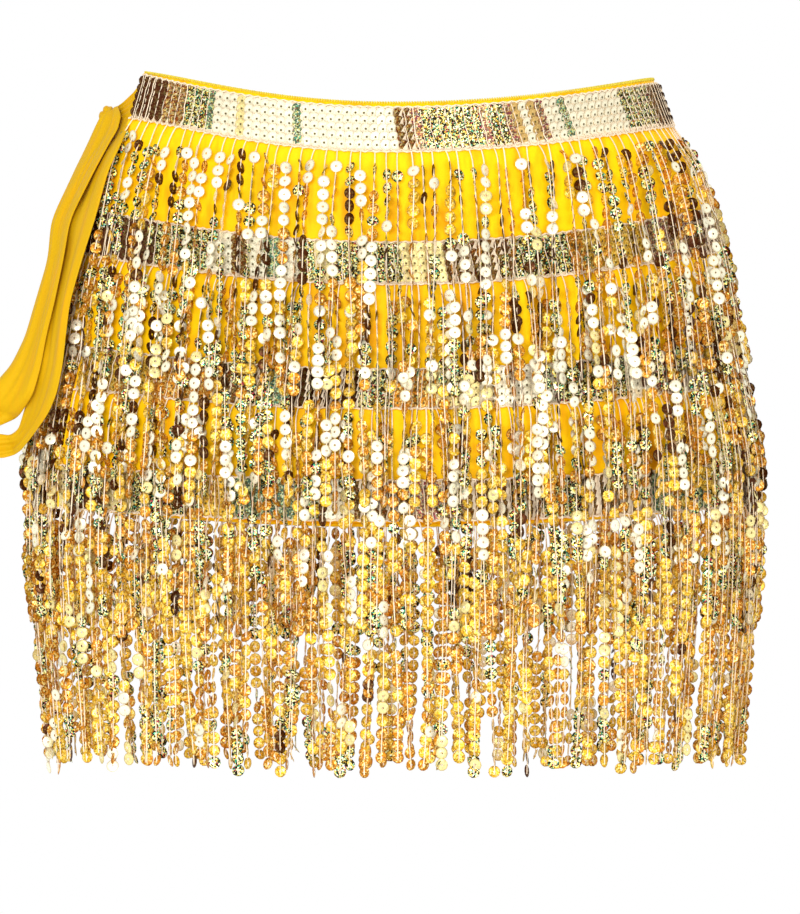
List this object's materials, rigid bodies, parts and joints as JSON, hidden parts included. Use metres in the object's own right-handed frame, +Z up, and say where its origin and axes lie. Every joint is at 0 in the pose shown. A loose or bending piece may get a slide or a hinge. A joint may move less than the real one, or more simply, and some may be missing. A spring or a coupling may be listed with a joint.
{
  "type": "belly dance hip scarf",
  "caption": "Worn hip scarf: a chiffon panel lapped and tied at one hip, with rows of sequin bands and hanging sequin fringe.",
  "frame": {"origin": "middle of the waist opening, level with the top edge at its sides, where the wearer's waist holds the scarf", "axes": "+Z up, -Y towards the front that the picture shows, tie on the -X side"},
  "size_m": [0.4286, 0.2716, 0.3746],
  "materials": {
    "yellow_chiffon": "matt yellow stretch chiffon",
    "sequin_band": "overlapping gold and cream sequins sewn with pale thread",
    "sequin_fringe": "strands of cream, amber and speckled gold sequins on pale thread"
  },
  "bodies": {
    "root": {"wrap_panel": "yellow_chiffon", "band_1": "sequin_band", "band_2": "sequin_band", "band_3": "sequin_band", "band_4": "sequin_band", "fringe_1": "sequin_fringe", "fringe_2": "sequin_fringe", "fringe_3": "sequin_fringe", "fringe_4": "sequin_fringe", "tie_corner": "yellow_chiffon", "tie_knot": "yellow_chiffon", "tie_tail_outer": "yellow_chiffon", "tie_tail_inner": "yellow_chiffon"}
  },
  "joints": []
}
